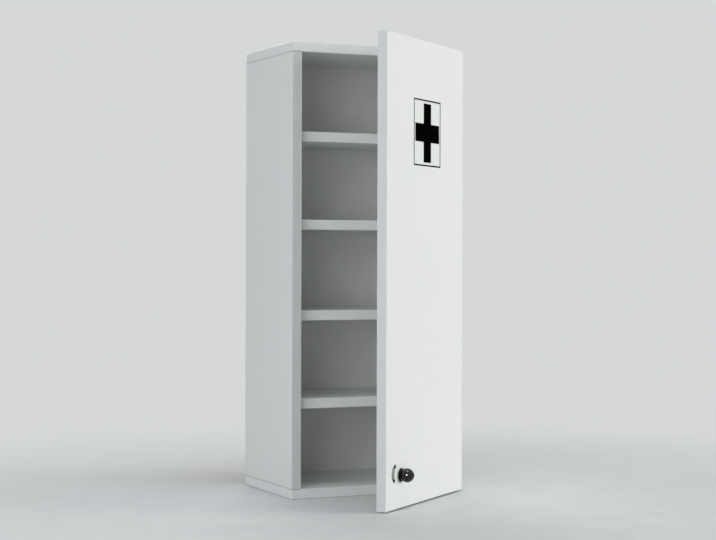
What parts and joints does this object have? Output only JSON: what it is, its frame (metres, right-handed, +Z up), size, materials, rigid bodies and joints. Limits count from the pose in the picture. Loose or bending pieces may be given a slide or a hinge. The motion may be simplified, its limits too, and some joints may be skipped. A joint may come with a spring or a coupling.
{
  "type": "lockable medicine cabinet",
  "caption": "Tall narrow wall cabinet with shelves and one full-overlay hinged door, kept shut by a turn knob with a cam lock; hangs on two wall screws.",
  "frame": {"origin": "on the wall plane, halfway between the axes of the two wall screw holes", "axes": "+Z up along the cabinet's height, +Y into the wall along the wall screws, +X to the right seen from the front"},
  "size_m": [0.3021, 0.4031, 0.735],
  "materials": {
    "melamine_board": "satin",
    "white_edging": "satin",
    "hardboard": "matte",
    "nickel_steel": "satin",
    "zinc_casting": "satin",
    "white_cap": "matte",
    "beech_dowel": "matte",
    "black_plastic": "gloss",
    "black_zinc": "satin",
    "clear_bumper": "satin"
  },
  "bodies": {
    "carcase": {"top_panel": "melamine_board", "bottom_panel": "melamine_board", "left_side": "melamine_board", "right_side": "melamine_board", "carcase_edging": "white_edging", "back_panel": "hardboard", "back_brads": "nickel_steel", "shelf_1": "melamine_board", "shelf_2": "melamine_board", "shelf_3": "melamine_board", "shelf_4": "melamine_board", "shelf_edging": "white_edging", "shelf_pins": "nickel_steel", "connecting_bolts": "nickel_steel", "cam_fittings": "zinc_casting", "fitting_caps": "white_cap", "wooden_dowels": "beech_dowel", "left_wall_bracket": "nickel_steel", "right_wall_bracket": "nickel_steel", "bracket_screws": "nickel_steel", "strike_plate": "nickel_steel", "strike_screws": "nickel_steel", "upper_mounting_plate": "nickel_steel", "lower_mounting_plate": "nickel_steel", "mounting_plate_screws": "nickel_steel", "upper_hinge_arm": "nickel_steel", "lower_hinge_arm": "nickel_steel", "arm_fixing_screws": "nickel_steel", "arm_adjusting_screws": "nickel_steel"},
    "door": {"door_board": "melamine_board", "door_edging": "white_edging", "upper_hinge_cup": "nickel_steel", "lower_hinge_cup": "nickel_steel", "upper_hinge_pin": "nickel_steel", "lower_hinge_pin": "nickel_steel", "cup_screws": "nickel_steel", "door_bumpers": "clear_bumper", "lock_housing": "zinc_casting", "lock_nut": "nickel_steel", "rosette": "black_plastic"},
    "knob": {"knob": "black_plastic", "spindle": "zinc_casting", "spindle_clip": "nickel_steel", "cam": "nickel_steel", "cam_screw": "nickel_steel"},
    "key_plug": {"key_plug": "black_zinc"}
  },
  "joints": [
    {"name": "door_hinge", "type": "hinge", "parent": "carcase", "child": "door", "pos_m": [0.1417, -0.215, 0], "axis": [0, 0, 1], "range_deg": [-38.8, 56.2]},
    {"name": "knob_turn", "type": "hinge", "parent": "door", "child": "knob", "pos_m": [-0.04152, -0.36231, -0.6364], "axis": [0.6266, -0.7793, 0], "range_deg": [0, 90]},
    {"name": "key_turn", "type": "hinge", "parent": "knob", "child": "key_plug", "pos_m": [-0.02711, -0.38024, -0.6364], "axis": [0.6266, -0.7793, 0], "range_deg": [0, 90]}
  ]
}
